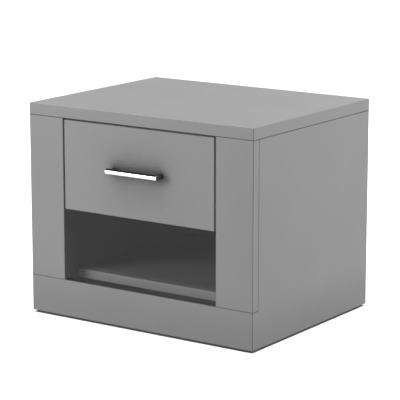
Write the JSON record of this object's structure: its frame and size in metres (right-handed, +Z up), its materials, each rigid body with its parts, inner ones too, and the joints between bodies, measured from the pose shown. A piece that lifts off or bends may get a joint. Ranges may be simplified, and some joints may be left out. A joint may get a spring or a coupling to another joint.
{
  "type": "bedside cabinet",
  "caption": "Low bedside cabinet with a flush inset drawer on roller runners, a chrome bar handle and an open niche below, framed by wide stiles and a plinth.",
  "frame": {"origin": "on the floor, under the centre of the whole bounding box, handle included", "axes": "+Z up; -Y out of the front, the way the drawer opens; +X towards the cabinet's right-hand side as a person facing its front sees it"},
  "size_m": [0.5, 0.4225, 0.404],
  "materials": {
    "grey_laminate": "plain mid-grey melamine laminate on chipboard, very fine matte grain",
    "hardboard": "grey lacquered hardboard, smooth front",
    "drawer_board": "grey foil-wrapped chipboard",
    "rail_enamel": "light grey epoxy-coated steel strip",
    "nylon": "moulded white nylon",
    "zinc_steel": "zinc-plated steel",
    "beech": "fluted beech dowel",
    "chrome": "polished chrome plating",
    "glide_plastic": "black moulded plastic"
  },
  "bodies": {
    "cabinet": {"top_panel": "grey_laminate", "left_side_panel": "grey_laminate", "right_side_panel": "grey_laminate", "left_partition": "grey_laminate", "right_partition": "grey_laminate", "left_stile": "grey_laminate", "right_stile": "grey_laminate", "plinth": "grey_laminate", "niche_shelf": "grey_laminate", "drawer_divider": "grey_laminate", "back_panel": "hardboard", "back_panel_nails": "zinc_steel", "floor_glides": "glide_plastic", "glide_nails": "zinc_steel", "cabinet_dowels": "beech", "top_cam_locks": "zinc_steel", "top_cam_bolts": "zinc_steel", "shelf_cam_locks": "zinc_steel", "shelf_cam_bolts": "zinc_steel", "left_cabinet_rail": "rail_enamel", "right_cabinet_rail": "rail_enamel", "cabinet_rail_screws": "zinc_steel", "cabinet_roller_rivets": "zinc_steel"},
    "drawer": {"drawer_front": "grey_laminate", "left_drawer_side": "drawer_board", "right_drawer_side": "drawer_board", "drawer_back": "drawer_board", "drawer_bottom": "hardboard", "drawer_dowels": "beech", "drawer_cam_locks": "zinc_steel", "drawer_cam_bolts": "zinc_steel", "drawer_back_screws": "zinc_steel", "drawer_bottom_screws": "zinc_steel", "left_drawer_rail": "rail_enamel", "right_drawer_rail": "rail_enamel", "drawer_rail_screws": "zinc_steel", "drawer_roller_rivets": "zinc_steel", "handle_bar": "chrome", "left_handle_post": "chrome", "right_handle_post": "chrome", "handle_screws": "zinc_steel"},
    "left_cabinet_roller": {"left_cabinet_roller": "nylon"},
    "right_cabinet_roller": {"right_cabinet_roller": "nylon"},
    "left_drawer_roller": {"left_drawer_roller": "nylon"},
    "right_drawer_roller": {"right_drawer_roller": "nylon"}
  },
  "joints": [
    {"name": "drawer_slide", "type": "slide", "parent": "cabinet", "child": "drawer", "axis": [0, -1, 0], "range_m": [0, 0.26]},
    {"name": "left_cabinet_roller_spin", "type": "hinge", "parent": "cabinet", "child": "left_cabinet_roller", "pos_m": [-0.1663, -0.15375, 0.2517], "axis": [1, 0, 0], "continuous": true},
    {"name": "right_cabinet_roller_spin", "type": "hinge", "parent": "cabinet", "child": "right_cabinet_roller", "pos_m": [0.1663, -0.15375, 0.2517], "axis": [1, 0, 0], "continuous": true},
    {"name": "left_drawer_roller_spin", "type": "hinge", "parent": "drawer", "child": "left_drawer_roller", "pos_m": [-0.1632, 0.16925, 0.248], "axis": [1, 0, 0], "continuous": true},
    {"name": "right_drawer_roller_spin", "type": "hinge", "parent": "drawer", "child": "right_drawer_roller", "pos_m": [0.1632, 0.16925, 0.248], "axis": [1, 0, 0], "continuous": true}
  ],
  "couplings": [
    {"joint": "left_cabinet_roller_spin", "follows": "drawer_slide", "rad_per_m": 100},
    {"joint": "right_cabinet_roller_spin", "follows": "drawer_slide", "rad_per_m": 100},
    {"joint": "left_drawer_roller_spin", "follows": "drawer_slide", "rad_per_m": 111.11},
    {"joint": "right_drawer_roller_spin", "follows": "drawer_slide", "rad_per_m": 111.11}
  ]
}
